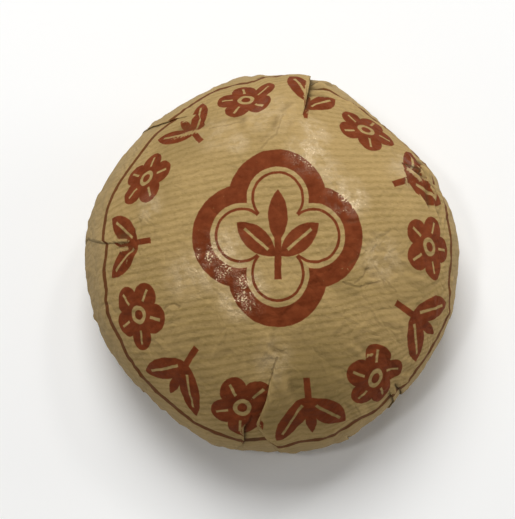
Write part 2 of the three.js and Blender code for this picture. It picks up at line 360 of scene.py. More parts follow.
def gap(bearing, other):
    """Signed turn from one bearing to another, in degrees, the short way round."""
    return (bearing - other + 180) % 360 - 180


def ease(value, start, end):
    """Smooth step from 0 at start to 1 at end."""
    t = np.clip((value - start) / (end - start), 0, 1)
    return t * t * (3 - 2 * t)


def quarter(start, end, fullness, leaves_level):
    """Points of a quarter of a superellipse between two points of the half section."""
    angle = np.linspace(0, math.pi / 2, 600)
    going = np.sin(angle) ** (2 / fullness)
    coming = 1 - np.cos(angle).clip(0) ** (2 / fullness)
    across, up = (going, coming) if leaves_level else (coming, going)
    start, end = np.array(start), np.array(end)
    return start + (end - start) * np.stack([across, up], 1)


class HalfSection:
    """Evenly spaced rows of the half section, from the top of the dome to the tip of the tail."""

    def __init__(self, girth_radius):
        top, girth = (0.0, CAKE_HEIGHT), (girth_radius, GIRTH_HEIGHT)
        stretches = (
            (quarter(top, girth, DOME_FULLNESS, True), OUTER_STEP),
            (quarter(girth, FOOT_OUTER, FLANK_FULLNESS, False), OUTER_STEP),
            (np.array([FOOT_OUTER, FOOT_INNER]), UNDER_STEP),
            (quarter(FOOT_INNER, LIP, 2, True), UNDER_STEP),
            (quarter(LIP, TAIL_ROOT, FLANK_FULLNESS, False), UNDER_STEP),
            (quarter(TAIL_ROOT, TAIL_NECK, 2, True), TAIL_STEP),
            (np.array([TAIL_NECK, TAIL_END]), TAIL_STEP),
            (quarter(TAIL_END, TAIL_TIP, 2, False), TAIL_STEP),
        )
        arcs, radii, heights, ends = [0.0], [0.0], [CAKE_HEIGHT], [0.0]
        for points, step in stretches:
            steps = np.linalg.norm(np.diff(points, axis=0), axis=1)
            length = np.r_[0, np.cumsum(steps)]
            count = max(1, round(length[-1] / step))
            places = length[-1] * np.arange(1, count + 1) / count
            arcs.extend(ends[-1] + places)
            radii.extend(np.interp(places, length, points[:, 0]))
            heights.extend(np.interp(places, length, points[:, 1]))
            ends.append(ends[-1] + length[-1])
        self.arc, self.radius, self.height = map(np.array, (arcs, radii, heights))
        self.girth_arc, self.foot_arc = ends[1:3]
        self.tail_arc, _, self.end_arc, self.tip_arc = ends[5:]
        self.girth_radius = girth_radius
        along_r, along_z = np.gradient(self.radius), np.gradient(self.height)
        length = np.hypot(along_r, along_z)
        self.out_r, self.out_z = -along_z / length, along_r / length
        self.out_r[0], self.out_z[0] = 0, 1
        self.out_r[-1], self.out_z[-1] = 0, -1


def fold_bearing(fold, arc):
    """Bearing of a fold at each arc distance."""
    places, bearings = zip(*fold["path"])
    return np.interp(arc, places, bearings)


def fold_rise(fold, section, scale):
    """Height of a fold's flap above the paper beside it, at each row."""
    swell = ease(section.arc, fold["opens"], fold["opens"] + fold["swell"])
    pressed = 1 - (1 - fold.get("rim", RIM_SHARE)) * ease(section.arc, *RIM_ARCS)
    fade = 1 - ease(section.arc, section.girth_arc + 2, section.foot_arc - 1)
    rise = fold["rise"] * scale * swell * pressed * fade
    return np.where(rise < CLOSED_RISE, 0, rise)


def hidden_paper(fold, arc):
    """Paper angle, in degrees, that a fold hides at each row."""
    grown = ease(arc, fold["opens"], fold["opens"] + HIDING_LENGTH)
    return np.degrees(fold["hides"] * grown / np.maximum(arc, 1))


class Sheet:
    """The grid of the folded sheet: a column for each strip of paper, in order of bearing.

    Between two folds the columns are spread evenly. At a fold the lower paper runs on under the
    flap, and one column more carries the underside of the flap's edge.
    """

    def __init__(self, section, fold_scale):
        self.radius = np.maximum(section.radius, 0.5)
        self.paths = [fold_bearing(fold, section.arc) for fold in FOLDS]
        self.rises = [fold_rise(fold, section, fold_scale) for fold in FOLDS]
        self.opened = [np.clip(rise / OPEN_RISE, 0, 1) for rise in self.rises]
        self.hidden = [hidden_paper(fold, section.arc) for fold in FOLDS]
        strips = [self.strip(number) for number in range(len(FOLDS))]
        grids = [np.hstack(parts) for parts in zip(*strips)]
        self.bearing, self.flap, self.angle, self.wear, self.shade = grids
        widths = [strip[0].shape[1] for strip in strips]
        self.joints = np.cumsum([0] + widths[:-1])
        self.lay_flap_edges()

    def strip(self, number):
        """The paper from a fold to the next one, with the column for the fold in front.

        Returns the grids of bearing, height of the flap, angle of the paper, wear with its painted
        highlight, and painted shade.
        """
        after = (number + 1) % len(FOLDS)
        whole_turn = 360 if after == 0 else 0
        start, end = self.paths[number], self.paths[after] + whole_turn
        starts_flap, ends_flap = FOLDS[number]["side"] == 1, FOLDS[after]["side"] == -1
        start_reach = FLAP_OVERHANG if starts_flap else FLAP_UNDERLAP
        end_reach = FLAP_OVERHANG if ends_flap else FLAP_UNDERLAP
        degree_of_mm = np.degrees(1 / self.radius)
        first = start - start_reach * self.opened[number] * degree_of_mm
        last = end + end_reach * self.opened[after] * degree_of_mm
        count = max(3, round(COLUMNS * (end - start).mean() / 360))
        share = np.linspace(0, 1, count + 1)[None, :]
        bearing = first[:, None] + (last - first)[:, None] * share
        flap, wear, shade = (np.zeros_like(bearing) for _ in range(3))
        for is_flap, path, near, sign in (
            (starts_flap, start, number, 1),
            (ends_flap, end, after, -1),
        ):
            fold, rise = FOLDS[near], self.rises[near][:, None]
            away = sign * np.radians(bearing - path[:, None]) * self.radius[:, None]
            away = away.clip(0)
            if is_flap:
                # the flap's edge is a worn crest, painted paler as a highlight too
                flap += rise * (1 - ease(away, 0, fold["lap"]))
                wear += np.clip(rise, 0, 1) * np.exp(-(away / CREST_WIDTH) ** 2)
            else:
                sink = fold.get("sink", SINK_SHARE)
                flap -= sink * rise * np.exp(-(away / DIP_WIDTH) ** 2)
                under = np.exp(-(away / (SHADE_WIDTH + sink)) ** 2)
                shade += fold.get("dark", 1) * np.clip(rise / SHADED_RISE, 0, 1) * under
        before, behind = self.hidden[number][:, None] / 2, self.hidden[after][:, None] / 2
        angle = bearing + before * (1 - share) - behind * share
        joint_shade = self.opened[number][:, None] * FOLDS[number].get("dark", 1)
        joint = (bearing[:, :1], flap[:, :1], angle[:, :1], 0 * wear[:, :1], joint_shade)
        return [np.hstack(pair) for pair in zip(joint, (bearing, flap, angle, wear, shade))]

    def lay_flap_edges(self):
        """Puts the column for each fold just under the edge of its flap."""
        total = self.bearing.shape[1]
        for fold, column, opened in zip(FOLDS, self.joints, self.opened):
            starts_flap = fold["side"] == 1
            edge = column + 1 if starts_flap else (column - 1) % total
            for grid in (self.bearing, self.flap, self.angle):
                grid[:, column] = grid[:, edge]
            if column == 0 and not starts_flap:
                self.bearing[:, column] -= 360
                self.angle[:, column] -= 360
            self.flap[:, column] -= FLAP_THICKNESS * opened

    def vertex_numbers(self):
        """Vertex of each place of the grid. The columns at a closed fold share one."""
        numbers = np.arange(self.bearing.size).reshape(self.bearing.shape)
        total = self.bearing.shape[1]
        for column, opened in zip(self.joints, self.opened):
            closed = opened == 0
            for other in (column, (column - 1) % total):
                numbers[closed, other] = numbers[closed, column + 1]
        numbers[0, :] = numbers[0, 0]
        numbers[-1, :] = numbers[-1, 0]
        return numbers


def crease_relief(section, bearing, creases):
    """Height of the creases at each place of the grid, their wear with a painted highlight, and
    painted shade.
    """
    relief, wear, shade = (np.zeros_like(bearing) for _ in range(3))
    for turn_a, arc_a, turn_b, arc_b, height, width in creases:
        low, high = min(arc_a, arc_b) - 4 * width, max(arc_a, arc_b) + 4 * width
        rows = np.flatnonzero((section.arc > low) & (section.arc < high))
        if not len(rows):
            continue
        radius = np.interp((arc_a + arc_b) / 2, section.arc, section.radius)
        across = math.radians(gap(turn_b, turn_a)) * radius
        down = arc_b - arc_a
        length = math.hypot(across, down)
        x = np.radians(gap(bearing[rows], turn_a)) * radius
        y = section.arc[rows][:, None] - arc_a
        along = (x * across + y * down) / length**2
        aside = (x * down - y * across) / length
        taper = np.clip(4 * along * (1 - along), 0, 1) ** 0.6
        ridge = np.exp(-((aside / width) ** 2)) * taper
        hollow = np.exp(-(((aside - HOLLOW_OFFSET * width) / (HOLLOW_WIDTH * width)) ** 2)) * taper
        relief[rows] += CREASE_GAIN * height * (ridge - HOLLOW_DEPTH * hollow)
        # a ridge gets wear with a painted highlight and painted shade in its hollow, a dent gets
        # painted shade
        if height > 0:
            wear[rows] += ridge * min(1, RIDGE_WEAR_AND_HIGHLIGHT * height)
            shade[rows] += hollow * min(1, RIDGE_SHADE * height)
        else:
            shade[rows] += ridge * min(1, -DENT_SHADE * height)
    return relief, wear, shade


def random_creases(random):
    """Fine creases: most run down the shoulder, the rest lie anywhere on the dome."""
    creases = []
    kind = SHOULDER_CREASES
    for _ in range(kind["count"]):
        turn, arc = random.uniform(0, 360), random.uniform(*kind["arcs"])
        length, lean = random.uniform(*kind["lengths"]), random.normal(0, kind["lean"])
        height = random.uniform(*kind["heights"]) * random.choice((1, 1, -1)) * min(1.4, arc / 40)
        width = random.uniform(*kind["widths"])
        creases.append((turn, arc, turn + lean, arc + length, height, width))
    kind = STRAY_CREASES
    for _ in range(kind["count"]):
        turn, arc = random.uniform(0, 360), kind["reach"] * math.sqrt(random.uniform(0.02, 1))
        heading, length = random.uniform(0, math.tau), random.uniform(*kind["lengths"])
        turn_b = turn + math.degrees(math.cos(heading) * length / max(arc, 6))
        arc_b = arc + math.sin(heading) * length
        height = random.uniform(*kind["heights"]) * random.choice((1, -1))
        creases.append((turn, arc, turn_b, arc_b, height, kind["width"]))
    return creases


def soft_unevenness(section, bearing):
    """Broad dents and swellings of the cake under the paper."""
    angle = np.radians(bearing)
    x = section.radius[:, None] * np.cos(angle)
    y = section.radius[:, None] * np.sin(angle)
    z = section.height[:, None] + 0 * angle
    relief = np.zeros(bearing.size)
    points = np.stack([x.ravel(), y.ravel(), z.ravel()], 1)
    broad_waves, broad_height = BROAD_DENTS
    fine_waves, fine_height = FINE_DENTS
    crumple_waves, crumple_height, rim_gain = CRUMPLING
    for number, (px, py, pz) in enumerate(points.tolist()):
        broad = noise.noise((px * broad_waves, py * broad_waves, pz * broad_waves))
        fine = noise.noise((px * fine_waves + 40, py * fine_waves, pz * fine_waves))
        crumpled = noise.noise((px * crumple_waves, py * crumple_waves + 40, pz * crumple_waves))
        edge = min(1, max(0, (px * px + py * py - 1200) / 400))
        relief[number] = broad_height * broad + fine_height * fine
        relief[number] += (crumple_height + rim_gain * edge) * crumpled
    return relief.reshape(bearing.shape)


class Gathers:
    """Small pleats of uneven width round the flank, under the foot and into the hollow."""

    def __init__(self, count, random):
        self.count = count
        self.waves = [
            (k, random.normal(0, 0.9 / k), random.uniform(0, math.tau)) for k in (3, 5, 8, 13)
        ]
        self.strength = random.uniform(0.45, 1.25, count)

    def phase(self, section, bearing):
        """Gather number at each place of the grid, which grows by the count in one turn."""
        angle = np.radians(bearing)
        lean = GATHER_LEAN * ease(section.arc, section.girth_arc, section.tail_arc)[:, None]
        waves = sum(size * np.sin(k * angle + start) for k, size, start in self.waves)
        return bearing * self.count / 360 + lean + waves

    def relief(self, section, bearing):
        """Depth of the gathers, and the wear of their crests, which is painted paler with a
        highlight.
        """
        phase = self.phase(section, bearing)
        number = np.floor(phase).astype(int) % self.count
        part = phase - np.floor(phase)
        places, depths = zip(*GATHER_DEPTH)
        depth = np.interp(section.arc, places, depths)[:, None] * self.strength[number]
        slope = np.minimum(part / GATHER_CREST, (1 - part) / (1 - GATHER_CREST))
        crest = np.exp(-(((part - GATHER_CREST) / 0.07) ** 2)) * np.clip(depth, 0, 1)
        return -depth * (1 - slope), crest


def tail_waves(angle, rows):
    """Sum of the waves round the tail."""
    return sum(size * np.cos(count * angle + start) for count, size, start in rows)


def tail_shape(section, bearing):
    """Radius factor, lift and sideways bend of the twisted tail with its ruffled end."""
    hang = (section.arc - section.tail_arc)[:, None].clip(0)
    span = section.tip_arc - section.tail_arc
    grown = ease(hang, 0, span * 0.45)
    twisted = np.radians(bearing) + TAIL_TWIST * hang
    flare = ease(hang, span * 0.3, span * 0.6)
    factor = 1 + grown * (tail_waves(twisted, TAIL_RIBS) + flare * tail_waves(twisted, TAIL_RUFFLE))
    inside = ease(section.arc, section.end_arc - 1.2, section.tip_arc)[:, None]
    rosette = flare * tail_waves(twisted, TAIL_ROSETTE)
    lift = rosette * (1 - inside) + TAIL_LIFT * inside * (1 - np.cos(3 * twisted) * 0.2)
    bend = TAIL_BEND * (hang / span * 2).clip(0, 1) ** 2
    return factor, lift * (hang > 0), bend


def paper_places(section, sheet):
    """Where each place of the grid lies on the flat printed sheet, in millimetres."""
    arc = section.arc[:, None]
    x, y = sheet_point(sheet.angle, arc)
    stretch = np.ones_like(x)
    borders = [fold_bearing(FOLDS[number], section.arc) for number in RING_FOLDS]
    turn = sheet.bearing
    for index, knots in enumerate(RING_LINE):
        start = borders[index][:, None]
        end = borders[(index + 1) % len(borders)][:, None]
        end = end + (360 if index == len(borders) - 1 else 0)
        around = turn + np.where(turn < borders[0][:, None] - 6, 360, 0)
        inside = (around >= start) & (around <= end)
        ring_arc = np.interp(around, *zip(*knots))
        ring_x, ring_y = sheet_point(sheet.angle, ring_arc)
        factor = RING_RADIUS / np.hypot(ring_x, ring_y)
        stretch = np.where(inside, factor, stretch)
    factor = 1 + (stretch - 1) * ease(arc, *STRETCH_ARCS)
    return x * factor, y * factor


def sheet_point(angle, arc):
    """Point of the flat sheet under a bearing and an arc distance from the top."""
    turn = np.radians(angle)
    x = arc * np.cos(turn) / (1 + SHEET_SQUEEZE) + SHEET_SHIFT[0]
    y = arc * np.sin(turn) / (1 - SHEET_SQUEEZE) + SHEET_SHIFT[1]
    return x, y


def crease_corners(section, sheet, x, y):
    """The sharp creases with their corners on the flat sheet, in millimetres."""
    lines = []
    for depth, half_width, corners in CREASE_LINES:
        places = []
        for bearing, arc in corners:
            row = np.abs(section.arc - arc).argmin()
            column = np.abs(gap(sheet.bearing[row], bearing)).argmin()
            places.append((float(x[row, column]), float(y[row, column]), 0.0))
        lines.append((depth, half_width, places))
    return lines


def surface_points(section, sheet, relief):
    """Points of the grid, in millimetres, with the axis of the dome at the origin."""
    angle = np.radians(sheet.bearing)
    pushes = sum(
        push * np.exp(-((gap(sheet.bearing, centre) / spread) ** 2))
        for centre, push, spread in SHOULDER_LOBES
    )
    reach = np.minimum(section.radius / section.girth_radius, 1)[:, None] ** 3
    radius = section.radius[:, None] + section.out_r[:, None] * relief + pushes * reach
    height = section.height[:, None] + section.out_z[:, None] * relief
    factor, lift, bend = tail_shape(section, sheet.bearing)
    radius, height = radius * factor, height + lift
    x, y = radius * np.cos(angle) + bend, radius * np.sin(angle)
    return np.stack([x, y, height.clip(0)], -1)


def grid_faces(numbers):
    """Places in the grid of the corners of its quads, and of its triangles where two coincide."""
    places = np.arange(numbers.size).reshape(numbers.shape)
    after = np.roll(places, -1, axis=1)
    corners = np.stack([places[:-1], places[1:], after[1:], after[:-1]], -1).reshape(-1, 4)
    vertices = numbers.ravel()
    repeats = vertices[corners] == np.roll(vertices[corners], -1, axis=1)
    times = repeats.sum(1)
    triangles = corners[times == 1][~repeats[times == 1]].reshape(-1, 3)
    ends = vertices[triangles]
    proper = (ends != np.roll(ends, -1, axis=1)).all(1)
    return corners[times == 0], triangles[proper]


def sheet_mesh(name, points, numbers, layers, marks):
    """A mesh of the grid with a UV map for each layer and an attribute for each mark."""
    quads, triangles = grid_faces(numbers)
    used, compact = np.unique(numbers.ravel(), return_inverse=True)
    mesh = bpy.data.meshes.new(name)
    flat_points = points.reshape(-1, 3)[used]
    faces = compact.ravel()[quads].tolist() + compact.ravel()[triangles].tolist()
    mesh.from_pydata(flat_points.tolist(), [], faces)
    places = np.concatenate([quads.ravel(), triangles.ravel()])
    for layer, (u, v) in layers.items():
        values = np.stack([u.ravel()[places], v.ravel()[places]], 1)
        mesh.uv_layers.new(name=layer).data.foreach_set("uv", values.ravel())
    for mark, values in marks.items():
        attribute = mesh.attributes.new(mark, "FLOAT", "POINT")
        attribute.data.foreach_set("value", values.ravel()[used].clip(0, 1))
    mesh.shade_smooth()
    return mesh


class Socket:
    """One output of a shader node. Arithmetic on it adds Math nodes."""

    def __init__(self, recipe, output):
        self.recipe = recipe
        self.output = output

    def __add__(self, other):
        return self.recipe.maths("ADD", self, other)

    def __sub__(self, other):
        return self.recipe.maths("SUBTRACT", self, other)

    def __rsub__(self, other):
        return self.recipe.maths("SUBTRACT", other, self)

    def __mul__(self, other):
        return self.recipe.maths("MULTIPLY", self, other)

    def __truediv__(self, other):
        return self.recipe.maths("DIVIDE", self, other)

    def __rtruediv__(self, other):
        return self.recipe.maths("DIVIDE", other, self)

    def __abs__(self):
        return self.recipe.maths("ABSOLUTE", self)

    __radd__ = __add__
    __rmul__ = __mul__


class Recipe:
    """Adds the nodes of one material."""

    def __init__(self, name):
        self.material = bpy.data.materials.new(name)
        self.material.use_nodes = True
        self.tree = self.material.node_tree
        self.tree.nodes.clear()

    def node(self, kind, settings, values):
        """Adds a node: its settings first, then the values or links of its sockets."""
        node = self.tree.nodes.new(kind)
        for name, setting in settings.items():
            setattr(node, name, setting)
        for key, value in values.items():
            if isinstance(value, Socket):
                self.tree.links.new(value.output, node.inputs[key])
            else:
                node.inputs[key].default_value = value
        return node

    def add(self, kind, settings, values, output=0):
        """Adds a node and returns one of its outputs."""
        return Socket(self, self.node(kind, settings, values).outputs[output])

    def maths(self, operation, *values):
        return self.add("ShaderNodeMath", {"operation": operation}, dict(enumerate(values)))

    def vector(self, operation, values, output=0):
        return self.add("ShaderNodeVectorMath", {"operation": operation}, values, output)

    def least(self, first, *others):
        for other in others:
            first = self.maths("MINIMUM", first, other)
        return first

    def most(self, first, *others):
        for other in others:
            first = self.maths("MAXIMUM", first, other)
        return first

    def ramp(self, value, start, end):
        """Smooth step of a value from 0 at start to 1 at end."""
        values = {"Value": value, "From Min": start, "From Max": end}
        return self.add("ShaderNodeMapRange", {"interpolation_type": "SMOOTHSTEP"}, values)

    def mix(self, factor, first, second, blend="MIX"):
        """Mix of two colours."""
        settings = {"data_type": "RGBA", "blend_type": blend}
        return self.add("ShaderNodeMix", settings, {0: factor, 6: first, 7: second}, 2)

    def join(self, x, y, z=0.0):
        return self.add("ShaderNodeCombineXYZ", {}, {0: x, 1: y, 2: z})

    def split(self, vector):
        node = self.node("ShaderNodeSeparateXYZ", {}, {0: vector})
        return [Socket(self, output) for output in node.outputs]

    def mark(self, name):
        """A mark on the points of the mesh, from 0 to 1."""
        return self.add("ShaderNodeAttribute", {"attribute_name": name}, {}, 2)

    def grain(self, place, scale, detail=2.0, rough=0.5, kind="FBM", output=0):
        """Noise over the flat sheet, about 0 to 1. The scale is in waves per millimetre."""
        settings = {"noise_type": kind, "normalize": True}
        values = {"Vector": place, "Scale": scale, "Detail": detail, "Roughness": rough}
        return self.add("ShaderNodeTexNoise", settings, values, output)

    def shaken(self, place, reach, scale, detail=2.0, rough=0.5):
        """A place pushed about at random, by up to half the reach each way."""
        push = self.grain(place, scale, detail, rough, output=1)
        push = self.vector("SUBTRACT", {0: push, 1: (0.5, 0.5, 0.5)})
        return self.vector("MULTIPLY_ADD", {0: push, 1: (reach, reach, 0.0), 2: place})

    def facets(self, place, scale):
        """Distance to the nearest crease of a net of facets, in cells."""
        settings = {"voronoi_dimensions": "2D", "feature": "DISTANCE_TO_EDGE"}
        return self.add("ShaderNodeTexVoronoi", settings, {"Vector": place, "Scale": scale})

    def bump(self, height):
        """Surface relief from a height in millimetres."""
        return self.add("ShaderNodeBump", {}, {"Strength": 1.0, "Distance": MM, "Height": height})

    def away(self, place, x, y):
        """Distance of a place on the sheet from a point, in millimetres."""
        return self.vector("DISTANCE", {0: place, 1: (x, y, 0.0)}, 1)

    def turned(self, place, angle):
        """A place turned about the origin by an angle in radians."""
        values = {"Vector": place, "Angle": angle}
        return self.add("ShaderNodeVectorRotate", {"rotation_type": "Z_AXIS"}, values)

    def finish(self, shader):
        self.node("ShaderNodeOutputMaterial", {}, {"Surface": shader})
        return self.material


def leaf(recipe, place, centre, degrees, half_length, half_width, rib):
    """Distance to a pointed leaf with a bare rib, less than zero on the ink."""
    local = recipe.vector("SUBTRACT", {0: place, 1: (*centre, 0.0)})
    local = recipe.turned(local, math.radians(degrees))
    x, y, _ = recipe.split(local)
    reach = half_length**2 / half_width
    radius, aside = (reach + half_width) / 2, (reach - half_width) / 2
    side = recipe.most(recipe.away(local, aside, 0), recipe.away(local, -aside, 0)) - radius
    if not rib:
        return side
    groove = recipe.most(abs(x) - rib, abs(y) - 0.62 * half_length)
    return recipe.most(side, -1.0 * groove)


def emblem_ink(recipe, place, radius):
    """Quatrefoil frame with a sprig of two leaves and a bud."""
    size = radius / EMBLEM_DRAWN
    place = recipe.vector("SCALE", {0: place, "Scale": 1 / size})
    folded = recipe.vector("ABSOLUTE", {0: place})
    lobes = recipe.least(recipe.away(folded, 7.8, 0), recipe.away(folded, 0, 7.8)) - 8.7
    body = recipe.least(lobes, recipe.away(folded, 0, 0) - 9.5)
    frame_line = abs(body) - 2.0
    inner_line = abs(body + 3.3) - 0.3
    x, y, _ = recipe.split(place)
    half = recipe.join(abs(x), y)
    bud = leaf(recipe, place, (0, 3.9), 0, 5.6, 2.1, 0.0)
    leaves = leaf(recipe, half, (4.6, -0.9), 50, 5.4, 2.45, 0.3)
    stem = recipe.most(abs(x) - 0.75, abs(y + 4.4) - 4.6)
    return recipe.least(frame_line, inner_line, bud, leaves, stem) * size


def wreath_ink(recipe, place, inner, outer):
    """Blossoms and leaf pairs in turn, evenly round a band."""
    middle, size = (inner + outer) / 2, (outer - inner) / WREATH_DRAWN
    u, v, _ = recipe.split(place)
    cell = math.tau / WREATH_COUNT
    angle = recipe.maths("ARCTAN2", v, u)
    number = recipe.maths("ROUND", angle / cell)
    odd = recipe.maths("PINGPONG", number, 1.0)
    aside = angle - number * cell
    radius = recipe.away(place, 0, 0)
    x = radius * recipe.maths("SINE", aside) / size
    y = (radius * recipe.maths("COSINE", aside) - middle) / size
    spot = recipe.join(x, y)
    reach = recipe.away(spot, 0, 0)
    petal = math.tau / 5
    turn = recipe.maths("ARCTAN2", x, y)
    turn = turn - recipe.maths("ROUND", turn / petal) * petal
    across, up = reach * recipe.maths("SINE", turn), reach * recipe.maths("COSINE", turn)
    petals = recipe.away(recipe.join(across, up), 0, 3.7) - 2.55
    slit = recipe.most(abs(across) - 0.24, abs(up - 4.0) - 1.2)
    petals = recipe.most(petals, -1.0 * slit, 1.75 - reach)
    blossom = recipe.least(petals, reach - 0.95)
    half = recipe.join(abs(x), y)
    leaves = leaf(recipe, half, (3.3, 1.0), 40, 5.3, 2.2, 0.26)
    bud = leaf(recipe, spot, (0, 2.0), 0, 3.4, 1.0, 0.0)
    stem = recipe.most(abs(x) - 0.6, abs(y + 3.2) - 3.1)
    sprig = recipe.least(leaves, bud, stem)
    return (blossom + (sprig - blossom) * odd) * size


def spots(recipe, place, rows):
    """Mask of round soft patches on the flat sheet."""
    mask = 0.0
    for x, y, inner, outer, strength in rows:
        patch = recipe.ramp(recipe.away(place, x, y), outer, inner) * strength
        mask = recipe.most(mask, patch)
    return mask


def crease_distance(recipe, place, corners):
    """Distance from a line of straight creases on the flat sheet, in millimetres."""
    distances = []
    for start, end in zip(corners, corners[1:]):
        way = Vector(end) - Vector(start)
        off = recipe.vector("SUBTRACT", {0: place, 1: start})
        share = recipe.vector("DOT_PRODUCT", {0: off, 1: way / way.length_squared}, 1)
        share = recipe.least(recipe.most(share, 0.0), 1.0)
        foot = recipe.vector("SCALE", {0: way, "Scale": share})
        distances.append(recipe.vector("DISTANCE", {0: off, 1: foot}, 1))
    return recipe.least(*distances)


def sheet_place(recipe, gathers):
    """Place on the flat sheet, with the paper that each gather tucks away left out."""
    flat = recipe.add("ShaderNodeUVMap", {"uv_map": "paper_sheet"}, {})
    flat = recipe.vector("SUBTRACT", {0: flat, 1: (0.5, 0.5, 0.0)})
    flat = recipe.vector("SCALE", {0: flat, "Scale": SHEET_SIZE})
    gathered = recipe.add("ShaderNodeUVMap", {"uv_map": "gathers"}, {})
    phase, tuck, _ = recipe.split(gathered)
    part = phase - recipe.maths("FLOOR", phase) - 0.5
    return recipe.turned(flat, part * tuck * (-math.tau / gathers))


def crease_shade(recipe, place, crease_lines):
    """Shade of the sharp creases, which are a little unsteady."""
    unsteady = recipe.shaken(place, 1.1, 0.6)
    creased = 0.0
    for depth, half_width, corners in crease_lines:
        distance = crease_distance(recipe, unsteady, corners)
        line = recipe.ramp(distance, half_width + CREASE_BLUR, half_width) * depth
        creased = recipe.most(creased, line)
    return creased * recipe.ramp(recipe.grain(place, 0.45), 0.15, 0.45)


def paper_ribs(recipe, place, pitch):
    """Ribs of the paper from 0 to 1, and how dark they are."""
    u, v, _ = recipe.split(place)
    radius = recipe.away(place, 0, 0)
    wobble = recipe.grain(place, 0.05) - 0.5
    streak = recipe.grain(recipe.vector("MULTIPLY", {0: place, 1: (0.08, 0.9, 0)}), 1.0, 3)
    _, down, _ = recipe.split(recipe.turned(place, math.radians(-RIB_TILT)))
    near = recipe.least(recipe.most(down, -32), 32)
    down = down - near * near * 0.0018
    down = down - recipe.most(u - 14, 0) * recipe.ramp(v, 20, -30) * 0.3
    turn = (down + wobble * 0.9 + streak * 0.5) * (math.tau / pitch)
    ribs = recipe.maths("POWER", recipe.maths("SINE", turn) * 0.5 + 0.5, 1.7)
    strength = 0.34 + 0.36 * recipe.ramp(recipe.grain(place, 0.16, 3, 0.6), 0.3, 0.62)
    worn = 0.4 * recipe.ramp(radius, 40, 50) + 0.4 * recipe.ramp(radius, 56, 72)
    strength = strength * (1 - worn) * (1 - 0.35 * recipe.ramp(v, 10, 26))
    return ribs, ribs * strength


def paper_tone(recipe, looks, place, rib_shade, fibres, wear):
    """Colour of the bare paper, apart from its crushed glaze, with painted light and shade in it:
    paler crests, a greyer sheen outside the ring line and deeper patches that are partly shade.
    """
    clouds = recipe.grain(place, 0.05, 5, 0.62)
    specks = recipe.ramp(recipe.grain(place, 1.9, 1), 0.72, 0.8)
    # mask of the margin outside the ring line, where a greyer sheen and shade are painted
    margin = recipe.ramp(recipe.away(place, 0, 0), 43, 52)
    pale = tuple(min(1, channel * 1.25) for channel in looks.paper[:3]) + (1,)
    deep = tuple(channel * 0.72 for channel in looks.rib[:3]) + (1,)
    tone = recipe.mix(rib_shade, looks.paper, looks.rib)
    for share, colour in (
        (recipe.ramp(clouds, 0.45, 0.75) * 0.35, pale),
        (recipe.ramp(clouds, 0.5, 0.25) * 0.3, deep),
        (recipe.ramp(fibres, 0.5, 0.72) * 0.62, pale),
        (recipe.ramp(fibres, 0.48, 0.27) * 0.5, deep),
        (specks * 0.45, deep),
        # deeper patches: partly the paper's own tone, partly painted shade
        (spots(recipe, place, DEEP_TONE_AND_SHADE_SPOTS), deep),
        # painted greyer sheen and shade of the shoulder outside the ring line
        (margin * 0.5, looks.margin),
        # crests painted paler: wear with a painted highlight
        (wear * 0.5, pale),
    ):
        tone = recipe.mix(share, tone, colour)
    return tone


def print_mask(recipe, looks, place):
    """Where the sheet was printed, from 0 to 1."""
    _, v, _ = recipe.split(place)
    spot = recipe.shaken(place, 0.4, 0.55, 3, 0.6)
    emblem = emblem_ink(recipe, spot, looks.emblem_radius / MM)
    wreath = wreath_ink(recipe, spot, looks.wreath_inner / MM, looks.wreath_outer / MM)
    half_width = looks.ring_width / MM / 2 + RING_SWELL * recipe.ramp(v, 5, -15)
    ring = abs(recipe.away(spot, 0, 0) - RING_RADIUS) - half_width
    return 1 - recipe.ramp(recipe.least(emblem, wreath, ring), -0.1, 0.1)


def ink_tone(recipe, looks, place, rib_shade):
    """Colour of the ink, which is mottled, and darker in the ring line."""
    mottle = recipe.ramp(recipe.grain(place, 0.35, 4, 0.65), 0.3, 0.7)
    tone = recipe.mix(mottle, looks.ink, looks.ink_pale)
    tone = recipe.mix(rib_shade * 0.3, tone, looks.ink)
    in_ring = recipe.ramp(recipe.away(place, 0, 0), RING_RADIUS - 1.5, RING_RADIUS - 1)
    return recipe.mix(in_ring * 0.75, tone, looks.ring_ink)


def paper_relief(recipe, place, ribs, fibres, creased):
    """Heights of the matt paper and of its crushed glaze, in millimetres."""
    bent = recipe.shaken(place, 9.0, 0.12)
    broad = recipe.facets(bent, 0.12) * 6.0
    small = recipe.facets(bent, 0.36) * 2.0
    rumpled = recipe.ramp(recipe.grain(place, 0.07), 0.38, 0.62)
    crumple = recipe.grain(place, 0.9, 4, 0.62, "RIDGED_MULTIFRACTAL")
    fine = recipe.grain(place, 2.2, 3, 0.6)
    matt = ribs * 0.03 + fibres * 0.05 + fine * 0.05
    matt += broad * 0.12 + small * (0.06 + 0.12 * rumpled) - creased * 0.14
    return matt, matt + crumple * 0.3 + fine * 0.25


